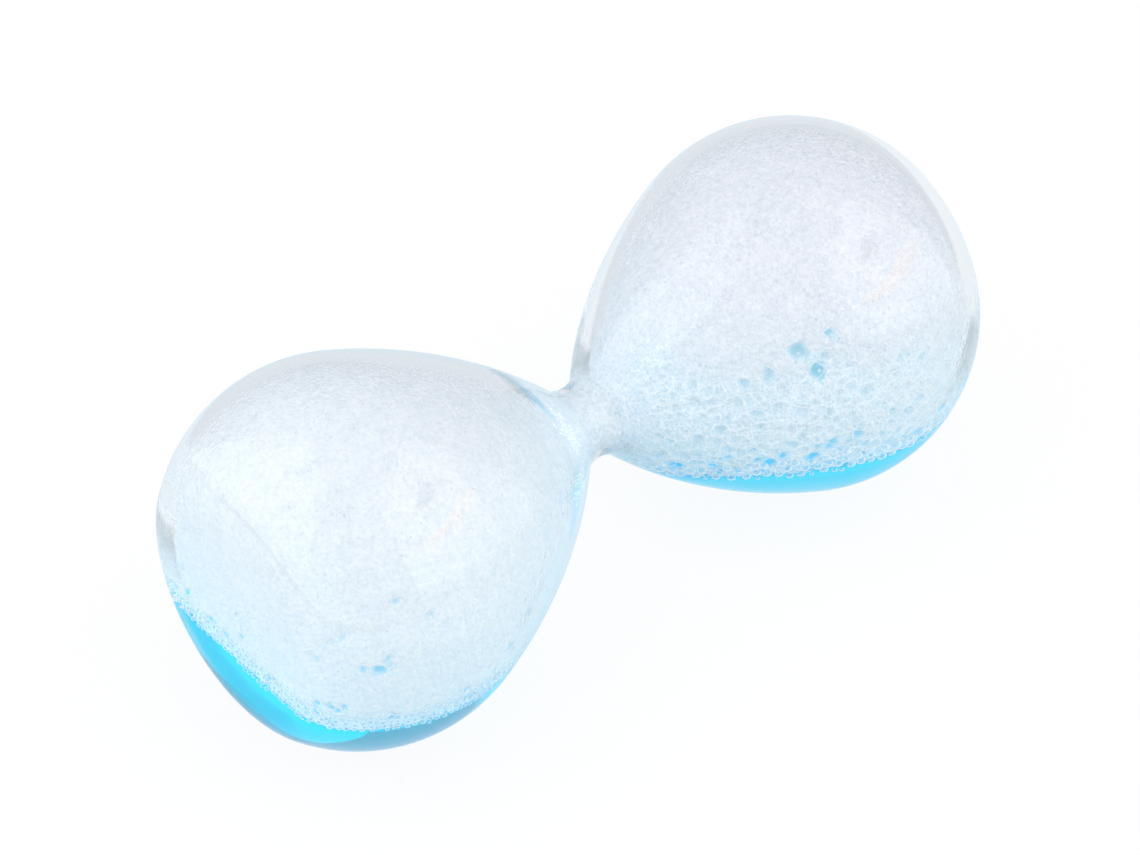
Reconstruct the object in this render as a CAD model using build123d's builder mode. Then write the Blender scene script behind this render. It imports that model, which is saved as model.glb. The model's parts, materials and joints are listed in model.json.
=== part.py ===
from build123d import *

import os
from math import asin, atan2, cos, degrees, sqrt

# Driving dimensions of the glass, in millimetres

overall_length = 153.5  # from base to base
bulb_diameter = 70.0  # across the widest circle of either bulb
base_reach = 24.75  # from that circle to the flat base
neck_diameter = 14.0  # outside, at the narrowest place
waist_length = 10.0  # of the thick tube between the two bulbs

neck_arc_radius = 7.4  # the hollow curve round the neck
shoulder_arc_radius = 94.5  # the long flank between the neck and the body
body_arc_radius = 31.5  # the round body
rim_arc_radius = 10.0  # the turn from the body to the flat base
inner_rim_radius = 14.0  # the same turn inside, where the glass has sagged and is thicker

neck_wall = 2.8
side_wall = 2.2
base_wall = 3.0

# The seal of the filling hole, in the base of the right bulb

fill_hole_diameter = 6.0
seal_seam = 0.05  # all round the plug
seal_bead_height = 0.7  # how far its bead stands out of the hole
hollow_depth = 1.3  # of the shallow hollow that keeps the bead off the table
hollow_diameter = 18.0

# The contents, which lie level while the glass rolls round them

contents_clearance = 0.3  # between the contents and the glass
liquid_drop = 13.0  # from the long axis down to the surface of the liquid
raft_height = 3.0  # of the wet foam that floats on the liquid

# Places that follow from those sizes

half_length = overall_length / 2
widest_station = half_length - base_reach
axis_height = bulb_diameter / 2
liquid_level = axis_height - liquid_drop
raft_level = liquid_level + raft_height

section = Plane(origin=(0, 0, axis_height), x_dir=(1, 0, 0), z_dir=(0, -1, 0))
long_axis = Axis((0, 0, axis_height), (1, 0, 0))
liquid_surface = Plane.XY.offset(liquid_level)
raft_surface = Plane.XY.offset(raft_level)

left = -1
right = 1


class Skin:
    """One skin of the vessel: the outer surface, or one that lies deeper at neck, side and base.

    A skin is a chain of four tangent arcs, turned about the long axis: the hollow round the neck,
    the shoulder, the body and the rim. The body's centre is level with the widest circle.
    """

    def __init__(self, neck_depth, side_depth, base_depth, rim_arc):
        self.neck_radius = neck_diameter / 2 - neck_depth
        self.end = half_length - base_depth
        self.neck_arc = neck_arc_radius + neck_depth
        self.shoulder_arc = shoulder_arc_radius - side_depth
        self.body_arc = body_arc_radius - side_depth
        self.rim_arc = rim_arc

        # The shoulder touches the neck's arc from outside and the body's arc from inside
        neck_centre = Vector(0, self.neck_radius + self.neck_arc)
        body_centre = Vector(widest_station, axis_height - body_arc_radius)
        to_neck = self.shoulder_arc + self.neck_arc
        to_body = self.shoulder_arc - self.body_arc
        between = body_centre - neck_centre
        span = between.length
        along = (to_neck**2 - to_body**2 + span**2) / (2 * span)
        aside = sqrt(to_neck**2 - along**2)
        line = between.normalized()
        shoulder_centre = neck_centre + line * along + Vector(line.Y, -line.X) * aside

        # The slope of the outline at each joint between two arcs, in degrees
        from_neck = shoulder_centre - neck_centre
        from_shoulder = body_centre - shoulder_centre
        self.shoulder_slope = degrees(atan2(from_neck.X, -from_neck.Y))
        self.body_slope = degrees(atan2(-from_shoulder.X, from_shoulder.Y))
        rim_reach = self.body_arc - self.rim_arc
        rim_angle = asin((self.end - self.rim_arc - widest_station) / rim_reach)
        self.rim_slope = degrees(rim_angle)
        self.base_radius = body_centre.Y + rim_reach * cos(rim_angle)

    def trace(self, side):
        """Draw the outline from the neck to the base and back along the axis."""
        neck = JernArc((0, self.neck_radius), (side, 0), self.neck_arc, side * self.shoulder_slope)
        fall = side * (self.body_slope - self.shoulder_slope)
        shoulder = JernArc(neck @ 1, neck % 1, self.shoulder_arc, fall)
        fall = -side * (self.rim_slope + self.body_slope)
        body = JernArc(shoulder @ 1, shoulder % 1, self.body_arc, fall)
        fall = side * (self.rim_slope - 90)
        rim = JernArc(body @ 1, body % 1, self.rim_arc, fall)
        Polyline(rim @ 1, (side * self.end, 0), (0, 0), neck @ 0)


outer_skin = Skin(0, 0, 0, rim_arc_radius)
inner_skin = Skin(neck_wall, side_wall, base_wall, inner_rim_radius)
contents_skin = Skin(
    neck_wall + contents_clearance,
    side_wall + contents_clearance,
    base_wall + contents_clearance,
    inner_rim_radius - contents_clearance,
)


# The three stretches of the long axis, each from its low end to its high end

left_stretch = (-half_length, -waist_length / 2)
waist_stretch = (-waist_length / 2, waist_length / 2)
right_stretch = (waist_length / 2, half_length)


def turn(skin, stretch, mode=Mode.ADD):
    """Turn one stretch of a skin about the long axis, into the part that is being made."""
    low, high = stretch
    with BuildSketch(section) as stretch_section:
        for side in (left, right):
            with BuildLine():
                skin.trace(side)
            make_face()
        with Locations(((low + high) / 2, 0)):
            Rectangle(high - low, bulb_diameter, mode=Mode.INTERSECT)
    revolve(stretch_section.sketch, axis=long_axis, mode=mode)


# The left bulb, a closed shell with a plain flat base

with BuildPart() as left_bulb:
    turn(outer_skin, left_stretch)
    turn(inner_skin, left_stretch, Mode.SUBTRACT)

# The right bulb, with the filling hole in the middle of its base

hollow_radius = ((hollow_diameter / 2) ** 2 + hollow_depth**2) / (2 * hollow_depth)

with BuildPart() as right_bulb:
    turn(outer_skin, right_stretch)
    turn(inner_skin, right_stretch, Mode.SUBTRACT)
    base = right_bulb.faces().filter_by(GeomType.PLANE).sort_by(Axis.X)[-1]
    with Locations(base.center_location):
        Hole(radius=fill_hole_diameter / 2, depth=base_wall)
    with Locations((half_length - hollow_depth + hollow_radius, 0, axis_height)):
        Sphere(radius=hollow_radius, mode=Mode.SUBTRACT)

# The neck tube, thicker than the bulbs that it joins

with BuildPart() as neck_tube:
    turn(outer_skin, waist_stretch)
    turn(inner_skin, waist_stretch, Mode.SUBTRACT)

# The seal, a plug with a low round bead, which fills the filling hole

plug_radius = fill_hole_diameter / 2 - seal_seam
hole_rise = hollow_radius - sqrt(hollow_radius**2 - plug_radius**2)
plug_inner_end = half_length - base_wall
plug_outer_end = half_length - hollow_depth + hole_rise
bead_radius = (plug_radius**2 + seal_bead_height**2) / (2 * seal_bead_height)
bead_turn = degrees(asin(plug_radius / bead_radius))

with BuildPart() as filling_seal:
    with BuildSketch(section):
        with BuildLine():
            bead = JernArc((plug_outer_end + seal_bead_height, 0), (0, 1), bead_radius, bead_turn)
            Polyline(bead @ 1, (plug_inner_end, plug_radius), (plug_inner_end, 0), bead @ 0)
        make_face()
    revolve(axis=long_axis)

# The contents of the bulbs, in three level layers: liquid, wet foam and dry foam

with BuildPart() as left_liquid:
    turn(contents_skin, left_stretch)
    split(bisect_by=liquid_surface, keep=Keep.BOTTOM)

with BuildPart() as left_wet_foam:
    turn(contents_skin, left_stretch)
    split(bisect_by=liquid_surface, keep=Keep.TOP)
    split(bisect_by=raft_surface, keep=Keep.BOTTOM)

with BuildPart() as left_dry_foam:
    turn(contents_skin, left_stretch)
    split(bisect_by=raft_surface, keep=Keep.TOP)

with BuildPart() as right_liquid:
    turn(contents_skin, right_stretch)
    split(bisect_by=liquid_surface, keep=Keep.BOTTOM)

with BuildPart() as right_wet_foam:
    turn(contents_skin, right_stretch)
    split(bisect_by=liquid_surface, keep=Keep.TOP)
    split(bisect_by=raft_surface, keep=Keep.BOTTOM)

with BuildPart() as right_dry_foam:
    turn(contents_skin, right_stretch)
    split(bisect_by=raft_surface, keep=Keep.TOP)

# The foam in the bore of the neck, which joins the dry foam of the two bulbs

with BuildPart() as neck_foam:
    turn(contents_skin, waist_stretch)

# Labels and files

left_bulb.part.label = "left_bulb"
right_bulb.part.label = "right_bulb"
neck_tube.part.label = "neck_tube"
filling_seal.part.label = "filling_seal"
left_liquid.part.label = "left_liquid"
left_wet_foam.part.label = "left_wet_foam"
left_dry_foam.part.label = "left_dry_foam"
right_liquid.part.label = "right_liquid"
right_wet_foam.part.label = "right_wet_foam"
right_dry_foam.part.label = "right_dry_foam"
neck_foam.part.label = "neck_foam"

os.makedirs("parts", exist_ok=True)

export_step(left_bulb.part, "parts/left_bulb.step")
export_step(right_bulb.part, "parts/right_bulb.step")
export_step(neck_tube.part, "parts/neck_tube.step")
export_step(filling_seal.part, "parts/filling_seal.step")
export_step(left_liquid.part, "parts/left_liquid.step")
export_step(left_wet_foam.part, "parts/left_wet_foam.step")
export_step(left_dry_foam.part, "parts/left_dry_foam.step")
export_step(right_liquid.part, "parts/right_liquid.step")
export_step(right_wet_foam.part, "parts/right_wet_foam.step")
export_step(right_dry_foam.part, "parts/right_dry_foam.step")
export_step(neck_foam.part, "parts/neck_foam.step")

print(f"flat bases: {2 * outer_skin.base_radius:.1f} mm across")
print(f"bore of the neck: {2 * inner_skin.neck_radius:.1f} mm")
print(f"the seal stays {half_length - plug_outer_end - seal_bead_height:.2f} mm inside the base")
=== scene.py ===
# %% [markdown]
# # A liquid motion timer, lying on its side
#
# The object is one piece of blown glass: two teardrop bulbs that meet in a short thick neck. It is half
# full of a blue soapy liquid. When it is shaken, the liquid turns to foam, and then it slowly drains
# again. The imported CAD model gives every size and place, so each cell below builds one piece around it.

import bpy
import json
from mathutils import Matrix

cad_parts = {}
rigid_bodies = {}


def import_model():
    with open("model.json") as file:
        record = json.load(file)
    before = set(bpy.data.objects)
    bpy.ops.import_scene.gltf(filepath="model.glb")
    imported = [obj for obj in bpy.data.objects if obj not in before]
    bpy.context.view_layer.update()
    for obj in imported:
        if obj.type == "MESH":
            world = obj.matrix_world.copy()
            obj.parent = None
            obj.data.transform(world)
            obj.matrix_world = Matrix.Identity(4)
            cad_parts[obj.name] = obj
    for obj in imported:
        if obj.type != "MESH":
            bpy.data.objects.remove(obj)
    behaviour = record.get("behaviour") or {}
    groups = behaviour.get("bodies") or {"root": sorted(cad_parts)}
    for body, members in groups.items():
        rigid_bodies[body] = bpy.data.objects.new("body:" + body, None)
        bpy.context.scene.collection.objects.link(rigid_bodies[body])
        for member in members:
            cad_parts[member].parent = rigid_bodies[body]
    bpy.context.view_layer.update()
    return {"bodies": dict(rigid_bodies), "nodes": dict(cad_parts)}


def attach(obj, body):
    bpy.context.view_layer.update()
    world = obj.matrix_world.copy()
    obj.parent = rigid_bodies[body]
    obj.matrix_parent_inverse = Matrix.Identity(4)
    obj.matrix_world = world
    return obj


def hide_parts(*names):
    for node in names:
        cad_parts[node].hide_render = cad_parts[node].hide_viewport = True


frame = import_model()
print("CAD nodes:", sorted(frame["nodes"]))

# %% Tools that the cells share
import json
from math import asin, atan2, ceil, cos, pi, radians, sin, sqrt

import bmesh
import bpy
import numpy as np
from mathutils import Vector, kdtree, noise

print("Blender", bpy.app.version_string)

# %% [markdown]
# ## The sizes of the glass
#
# A glassblower would check a bulb against a card cut to its outline. Here the card is a chain of four
# arcs: the hollow round the neck, the long shoulder, the round body and the rim of the flat base. The
# numbers repeat the CAD source's, in metres, because this script can't read that file.

# %% Sizes of the glass, in metres
mm = 0.001
half_length = 76.75 * mm
axis_height = 35.0 * mm
base_reach = 24.75 * mm
neck_outside = 7.0 * mm
waist = 5.0 * mm
neck_arc_radius = 7.4 * mm
shoulder_arc_radius = 94.5 * mm
body_arc_radius = 31.5 * mm
rim_arc_radius = 10.0 * mm
inner_rim_radius = 14.0 * mm
neck_wall = 2.8 * mm
side_wall = 2.2 * mm
base_wall = 3.0 * mm
liquid_level = 22.0 * mm
raft_level = 25.0 * mm
widest_station = half_length - base_reach
left, right = -1, 1
print(f"{2 * half_length / mm:.1f} mm long, {2 * axis_height / mm:.1f} mm across a bulb")


# %% The outline of one skin of the glass
class Skin:
    """A skin of the vessel: four tangent arcs from the neck to the rim, and then the flat base."""

    def __init__(self, neck_depth, side_depth, base_depth, rim_arc):
        self.end = half_length - base_depth
        neck_arc = neck_arc_radius + neck_depth
        shoulder_arc = shoulder_arc_radius - side_depth
        body_arc = body_arc_radius - side_depth
        neck_centre = Vector((0, neck_outside - neck_depth + neck_arc))
        body_centre = Vector((widest_station, axis_height - body_arc_radius))
        between = body_centre - neck_centre
        to_neck = shoulder_arc + neck_arc
        to_body = shoulder_arc - body_arc
        along = (to_neck**2 - to_body**2 + between.length**2) / (2 * between.length)
        aside = sqrt(to_neck**2 - along**2)
        line = between.normalized()
        shoulder_centre = neck_centre + line * along + Vector((line.y, -line.x)) * aside
        from_neck = shoulder_centre - neck_centre
        from_shoulder = body_centre - shoulder_centre
        shoulder_slope = atan2(from_neck.x, -from_neck.y)
        body_slope = atan2(-from_shoulder.x, from_shoulder.y)
        rim_reach = body_arc - rim_arc
        rim_slope = -asin((self.end - rim_arc - widest_station) / rim_reach)
        rim_centre = body_centre + Vector((-sin(rim_slope), cos(rim_slope))) * rim_reach
        self.neck_arc = neck_arc
        self.base_radius = rim_centre.y
        self.arcs = [
            (neck_centre, -neck_arc, None, shoulder_slope),
            (shoulder_centre, shoulder_arc, shoulder_slope, body_slope),
            (body_centre, body_arc, body_slope, rim_slope),
            (rim_centre, rim_arc, rim_slope, -pi / 2),
        ]

    def outline(self, spacing, first=waist, base_hole=0.0):
        """Points from a station to the base's middle, as rows of station, radius and slope."""
        rows = []
        for centre, reach, low, high in self.arcs:
            low = asin(first / self.neck_arc) if low is None else low
            count = max(6, ceil(abs(reach * (high - low)) / spacing))
            slopes = np.linspace(low, high, count + 1)
            rows.append(np.stack([
                centre.x - reach * np.sin(slopes),
                centre.y + reach * np.cos(slopes),
                slopes,
            ], axis=1))
        radii = np.linspace(self.base_radius, base_hole, max(8, ceil(self.base_radius / spacing)))
        flat = np.stack([np.full_like(radii, self.end), radii, np.full_like(radii, -pi / 2)], axis=1)
        rows.append(flat)
        return np.concatenate([rows[0]] + [row[1:] for row in rows[1:]])

    def waist_outline(self, count=40):
        """The same for the neck, from one waist plane to the other."""
        centre, reach, low, high = self.arcs[0]
        edge = asin(waist / self.neck_arc)
        slopes = np.linspace(-edge, edge, count + 1)
        return np.stack([-reach * np.sin(slopes), centre.y + reach * np.cos(slopes), slopes], axis=1)


def inside(gap):
    """The skin that lies a gap inside the inner wall."""
    return Skin(neck_wall + gap, side_wall + gap, base_wall + gap, inner_rim_radius - gap)


outer_skin = Skin(0, 0, 0, rim_arc_radius)
inner_skin = inside(0)
print(f"flat base: {2 * outer_skin.base_radius / mm:.1f} mm across")

# %% [markdown]
# ## Turning on a lathe
#
# Everything in the vessel is round about its long axis, so one lathe makes the glass and the first form
# of what is in it. The lathe keeps the true slope of each arc as the normal of the surface. Reflections
# then run smoothly over the glass, as they do over a real bulb, and no facet shows.


# %% A lathe for closed shapes
def new_piece(name, points, faces, smooth=True):
    """A mesh object from points and faces, which both may be arrays."""
    mesh = bpy.data.meshes.new(name)
    mesh.from_pydata(np.asarray(points).tolist(), [], faces)
    mesh.polygons.foreach_set("use_smooth", [smooth] * len(mesh.polygons))
    mesh.update()
    piece = bpy.data.objects.new(name, mesh)
    bpy.context.scene.collection.objects.link(piece)
    return piece


def turned(name, spans, side, segments, exact=True):
    """Turn spans of an outline about the long axis. A span is rows of station, radius and slope, a
    sign, which is 1 for a skin that faces out and -1 for one that faces in, and a material slot.
    The spans follow each other once round the section."""
    angles = np.linspace(0, 2 * pi, segments, endpoint=False)
    around = np.stack([np.sin(angles), np.cos(angles)], axis=1)
    points, rings = [], []
    faces, normals, slots = [], [], []
    last = None
    here = np.arange(segments)
    beside = (here + 1) % segments

    def ring(station, radius):
        nonlocal last
        if last is not None and abs(station - last[0]) + abs(radius - last[1]) < 1e-7:
            return rings[-1]
        start = len(points)
        if radius < 1e-7:
            points.append((side * station, 0.0, axis_height))
            rings.append(np.full(segments, start))
        else:
            y = radius * around[:, 0]
            z = axis_height + radius * around[:, 1]
            points.extend(zip(np.full(segments, side * station), y, z))
            rings.append(start + here)
        last = (station, radius)
        return rings[-1]

    for rows, facing, slot in spans:
        before = None
        for station, radius, slope in rows:
            now = ring(station, radius)
            normal = np.column_stack([
                np.full(segments, -sin(slope) * side * facing),
                cos(slope) * facing * around,
            ])
            if before is not None and before[0] is not now:
                was, was_normal = before
                quads = np.stack([was, now, now[beside], was[beside]], axis=1)
                corner = np.stack([was_normal, normal, normal[beside], was_normal[beside]], axis=1)
                if side < 0:
                    quads, corner = quads[:, ::-1], corner[:, ::-1]
                faces.append(quads)
                normals.append(corner)
                slots.append(np.full(segments, slot))
            before = (now, normal)
    quads = np.concatenate(faces)
    normals = np.concatenate(normals)
    slots = np.concatenate(slots)
    polygons, loop_normals = [], []
    for quad, corner in zip(quads.tolist(), normals.tolist()):
        keep = [i for i in range(4) if quad[i] != quad[i - 1]]
        polygons.append([quad[i] for i in keep])
        loop_normals.extend(corner[i] for i in keep)
    piece = new_piece(name, points, polygons)
    piece.data.polygons.foreach_set("material_index", slots.astype(np.int32))
    if exact:
        piece.data.normals_split_custom_set(loop_normals)
    print(f"{name}: {len(points)} points, {len(polygons)} faces")
    return piece


# %% [markdown]
# ## The two glass bulbs and the neck
#
# The real vessel is one tube of borosilicate glass, blown out at both ends and pressed flat at the bases.
# Each bulb is a closed shell with an outer and an inner skin, so the light bends twice, as it does in
# real glass, and the clear band at the outline is as wide as the wall makes it. The narrow faces where
# bulb and neck meet are marked as fused. They get no glass surface, so no joint shows.

# %% Blow the bulbs
glass_segments = 288
glass_spacing = 0.8 * mm
body_slot, fused_slot, inner_slot = 0, 1, 2


def flat_ring(station, low, high, facing_in=True):
    """A flat ring across the long axis, facing the neck or away from it. With 0 for low it is a disc."""
    slope = pi / 2 if facing_in else -pi / 2
    return np.array([[station, low, slope], [station, high, slope]])


outer = outer_skin.outline(glass_spacing)
inner = inner_skin.outline(glass_spacing)
left_glass = turned("left_glass", [
    (flat_ring(waist, inner[0, 1], outer[0, 1]), 1, fused_slot),
    (outer, 1, body_slot),
    (inner[::-1], -1, inner_slot),
], left, glass_segments)

# %% [markdown]
# The right bulb has the hole that the liquid went in through. It sits in a shallow hollow in the base,
# so that the seal doesn't touch the table when the timer stands up.

# %% Blow the right bulb, with its filling hole
hole_radius = 3.0 * mm
hollow_radius = 9.0 * mm
hollow_depth = 1.3 * mm
hollow_arc = (hollow_radius**2 + hollow_depth**2) / (2 * hollow_depth)


def hollow_outline(to_radius, count=14):
    """The shallow round hollow in the base, from its edge to a radius."""
    radii = np.linspace(hollow_radius, to_radius, count)
    centre = half_length - hollow_depth + hollow_arc
    stations = centre - np.sqrt(hollow_arc**2 - radii**2)
    slopes = -pi / 2 - np.arcsin(radii / hollow_arc)
    return np.stack([stations, radii, slopes], axis=1)


hollow = hollow_outline(hole_radius)
hole_mouth = hollow[-1, 0]
hole_wall = np.array([[hole_mouth, hole_radius, -pi], [inner_skin.end, hole_radius, -pi]])
outer_holed = outer_skin.outline(glass_spacing, base_hole=hollow_radius)
inner_holed = inner_skin.outline(glass_spacing, base_hole=hole_radius)
right_glass = turned("right_glass", [
    (flat_ring(waist, inner_holed[0, 1], outer_holed[0, 1]), 1, fused_slot),
    (outer_holed, 1, body_slot),
    (hollow, 1, body_slot),
    (hole_wall, 1, body_slot),
    (inner_holed[::-1], -1, inner_slot),
], right, glass_segments)

# %% [markdown]
# The neck is what the blower leaves between the bulbs: the tube itself, drawn in a little. Its wall is the
# thickest of all. Both skins are the first arc of the outline, carried over to the other side.

# %% Draw the neck
neck_outer = outer_skin.waist_outline()
neck_inner = inner_skin.waist_outline()
neck_glass = turned("neck_glass", [
    (flat_ring(-waist, neck_inner[0, 1], neck_outer[0, 1]), 1, fused_slot),
    (neck_outer, 1, body_slot),
    (flat_ring(waist, neck_inner[-1, 1], neck_outer[-1, 1], facing_in=False)[::-1], 1, fused_slot),
    (neck_inner[::-1], -1, inner_slot),
], right, glass_segments)

# %% [markdown]
# ## The seal
#
# After filling, the hole is closed with a bead of molten glass. It is a short plug with a low round top,
# turned on the same lathe.

# %% Melt the seal
plug_radius = 2.95 * mm
bead_height = 0.7 * mm
plug_mouth = hollow_outline(plug_radius)[-1, 0]
bead_arc = (plug_radius**2 + bead_height**2) / (2 * bead_height)
bead_turn = asin(plug_radius / bead_arc)
bead_angles = np.linspace(bead_turn, 0, 16)
bead_centre = plug_mouth + bead_height - bead_arc
bead = np.stack([
    bead_centre + bead_arc * np.cos(bead_angles),
    bead_arc * np.sin(bead_angles),
    bead_angles - pi / 2,
], axis=1)
plug_foot = flat_ring(inner_skin.end, 0, plug_radius)
plug_side = np.array([[inner_skin.end, plug_radius, 0], [plug_mouth, plug_radius, 0]])
seal_glass = turned("seal_glass", [
    (plug_foot, 1, body_slot),
    (plug_side, 1, body_slot),
    (bead, 1, body_slot),
], right, 96)

# %% [markdown]
# ## The liquid
#
# The liquid lies in the bottom of each bulb and wets the glass, so its sides are the inner skin itself,
# less a hair's breadth. A full teardrop is turned and then cut level at the surface of the liquid. It
# rides on the body of the contents, which stays level while the glass rolls round it.

# %% Pour the liquid
wet_skin = inside(0.03 * mm)


def cut_level(piece, height, keep_below):
    """Cut a closed piece at a height, and close it there with a flat face."""
    body = bmesh.new()
    body.from_mesh(piece.data)
    up = Vector((0, 0, 1 if keep_below else -1))
    bmesh.ops.bisect_plane(
        body,
        geom=body.verts[:] + body.edges[:] + body.faces[:],
        plane_co=(0, 0, height),
        plane_no=up,
        clear_outer=True,
    )
    edges = [edge for edge in body.edges if edge.is_boundary]
    for face in bmesh.ops.holes_fill(body, edges=edges)["faces"]:
        face.smooth = False
        face.normal_update()
        if face.normal.dot(up) < 0:
            face.normal_flip()
    body.to_mesh(piece.data)
    body.free()
    piece.data.update()


wet_outline = wet_skin.outline(glass_spacing)
liquid_segments = 240
shore = 1.7 * mm
shore_slope = 0.9 * mm
stand_back = 0.75 * mm


def pour(name, side):
    """The liquid of one bulb. Close to its surface it stands back from the glass, behind the bubbles."""
    spans = [(flat_ring(waist, 0, wet_outline[0, 1]), 1, body_slot), (wet_outline, 1, body_slot)]
    liquid = turned(name, spans, side, liquid_segments, exact=False)
    cut_level(liquid, liquid_level, keep_below=True)
    for vertex in liquid.data.vertices:
        rise = min(max((vertex.co.z - liquid_level + shore) / shore_slope, 0), 1)
        away = Vector((vertex.co.x - side * widest_station, vertex.co.y, 0))
        vertex.co -= away.normalized() * (stand_back * rise)
    liquid.data.update()
    return liquid


left_liquid = pour("left_liquid_pool", left)
right_liquid = pour("right_liquid_pool", right)
print("faces in the left pool:", len(left_liquid.data.polygons))

# %% [markdown]
# ## Foam
#
# Foam is bubbles that press on each other and on the glass. Where it has drained it is dry and its walls
# are too thin to see one by one, so it looks like white cream with a grain. Low down, in the right bulb,
# the bubbles are larger and their edges show as a tangle of bright lines.
#
# The body of the foam is a turned teardrop again. Seeds are spread over it, one for each bubble, and the
# skin sinks between the seeds, so every bubble swells a little.

# %% Spread seeds over a skin
foam_skin = inside(0.12 * mm)
fine_outline = foam_skin.outline(0.1 * mm)


def tree_of(points):
    """A search tree over points."""
    tree = kdtree.KDTree(len(points))
    for index, point in enumerate(points):
        tree.insert(point, index)
    tree.balance()
    return tree


def thinned(points, gaps):
    """Which points to keep, so that each keeps its own gap from all that come after it."""
    tree = tree_of(points)
    keep = np.ones(len(points), bool)
    for index, point in enumerate(points):
        if keep[index]:
            for _, other, _ in tree.find_range(point, gaps[index]):
                if other > index:
                    keep[other] = False
    return keep


def around_axis(side, station, radius, slope, angle):
    """Points on a turned skin and their normals. An angle of 0 is up, and pi / 2 is to the back."""
    points = np.stack([
        side * station,
        radius * np.sin(angle),
        axis_height + radius * np.cos(angle),
    ], axis=1)
    normals = np.stack([
        -side * np.sin(slope),
        np.cos(slope) * np.sin(angle),
        np.cos(slope) * np.cos(angle),
    ], axis=1)
    return points, normals


def scattered(outline, side, count, randoms):
    """Random points on a turned skin, even over its area."""
    steps = np.hypot(np.diff(outline[:, 0]), np.diff(outline[:, 1]))
    middle = (outline[1:, 1] + outline[:-1, 1]) / 2
    share = np.cumsum(steps * middle)
    rows = np.arange(len(outline))
    place = np.interp(randoms.random(count) * share[-1], np.r_[0, share], rows)
    station, radius, slope = (np.interp(place, rows, outline[:, column]) for column in range(3))
    return around_axis(side, station, radius, slope, randoms.random(count) * 2 * pi)


# %% [markdown]
# The coarse foam lies low in the right bulb, higher at the front than at the back. One function says how
# coarse the foam is at a point, so the form, the lines and the colour all agree.

# %% Where the foam is coarse
front = Vector((-0.64, -0.77))


def smooth_step(value):
    """0 below 0, 1 above 1, and an even rise between."""
    value = np.clip(value, 0, 1)
    return value * value * (3 - 2 * value)


def noise_at(points, scale):
    """Smooth noise between about -1 and 1 at each point."""
    return np.array([noise.noise(Vector(point) * scale) for point in points])


# The push below is the one noise that hangs on a seed
noise.seed_set(7)


def bent(points, reach, scale):
    """Points pushed about by noise, so that what is measured from them looks less regular."""
    push = [noise.noise_vector(Vector(point) * scale) for point in points]
    return points + reach * np.array(push)


def coarseness(points):
    """How coarse the foam of the right bulb is at each point, from 0 to 1."""
    points = np.asarray(points, float).reshape(-1, 3)
    x = points[:, 0] - widest_station
    y = points[:, 1]
    reach = np.maximum(np.hypot(x, y), 1e-6)
    facing = (x * front.x + y * front.y) / reach
    top = (30 + 20 * smooth_step((facing + 0.35) / 1.3) + 5 * noise_at(points, 90)) * mm
    zone = smooth_step((top - points[:, 2]) / (8 * mm))
    return zone * smooth_step((points[:, 0] - 6 * mm) / (5 * mm))


# %% [markdown]
# A few bubbles are far larger than the rest, and they look like windows in the foam. Each is a row of its
# station, its turn about the long axis, its width, and how much blue shows in it. They are listed one by one.

# %% Mark the large bubbles
right_windows = (
    (31.6, -58, 3.7, 0.50), (33.7, -68, 2.9, 0.85), (37.5, -56, 2.0, 0.55), (26.2, -64, 2.6, 0.30),
    (22.4, -64, 2.0, 0.30), (41.9, -72, 2.0, 0.45), (15.9, -63, 1.8, 0.25), (35.4, -63, 2.2, 0.22),
    (28.8, -69, 2.4, 0.18), (25.5, 5, 1.4, 0.22), (18.6, -121, 2.4, 0.75), (26.4, -112, 2.8, 0.95),
    (32.6, -108, 2.6, 0.95), (22.4, -108, 1.9, 0.60), (29.3, -106, 2.0, 0.65), (18.0, -88, 1.9, 0.32),
    (23.5, -82, 2.2, 0.30), (30.5, -83, 1.9, 0.34), (40.0, -98, 2.0, 0.60), (46.0, -92, 1.9, 0.45),
)
left_windows = (
    (67.6, -85, 2.4, 0.75), (53.1, -80, 1.4, 0.85), (63.1, -95, 1.3, 0.65), (62.8, -62, 1.2, 0.40),
    (69.6, -84, 1.5, 0.55), (73.0, -111, 1.3, 0.80), (65.9, -81, 1.3, 0.50), (58.5, -70, 1.1, 0.40),
    (71.0, -70, 1.2, 0.35), (60.0, -100, 1.2, 0.65), (56.0, -94, 1.1, 0.55), (68.6, -88, 1.3, 0.60),
)


class Cells:
    """Bubbles on a skin: where each lies, its width, how blue it looks, and if it is a window."""

    def __init__(self, points, widths, blue, window=None):
        self.points = points
        self.widths = widths
        self.blue = blue
        self.window = window
        self.tree = tree_of(points)

    def nearest(self, points):
        """For each point, the nearest bubble and the distance to its middle."""
        found = [self.tree.find(point) for point in points]
        return np.array([row[1] for row in found]), np.array([row[2] for row in found])


def marked(windows, side):
    """The large bubbles of one bulb."""
    station, turn, width, blue = np.array(windows, float).T
    radius = np.interp(station * mm, fine_outline[:, 0], fine_outline[:, 1])
    points, _ = around_axis(side, station * mm, radius, 0 * station, np.radians(turn))
    return Cells(points, width * mm, blue)


left_large = marked(left_windows, left)
right_large = marked(right_windows, right)
print("large bubbles:", len(left_large.points), "left,", len(right_large.points), "right")

# %% [markdown]
# The other bubbles are laid out on the bulb as seen from its middle. Random directions are as even as luck
# makes them, and the largest bubbles take their room first, so the small ones fill what is left.


# %% Spread the cells of the coarse foam
def polar_table(skin):
    """For a skin, the angle seen from the middle of the bulb and the distance at that angle."""
    rows = skin.outline(0.2 * mm)
    x = rows[:, 0] - widest_station
    return np.arctan2(x, rows[:, 1]), np.hypot(x, rows[:, 1])


polar_angle, polar_reach = polar_table(foam_skin)


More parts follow.
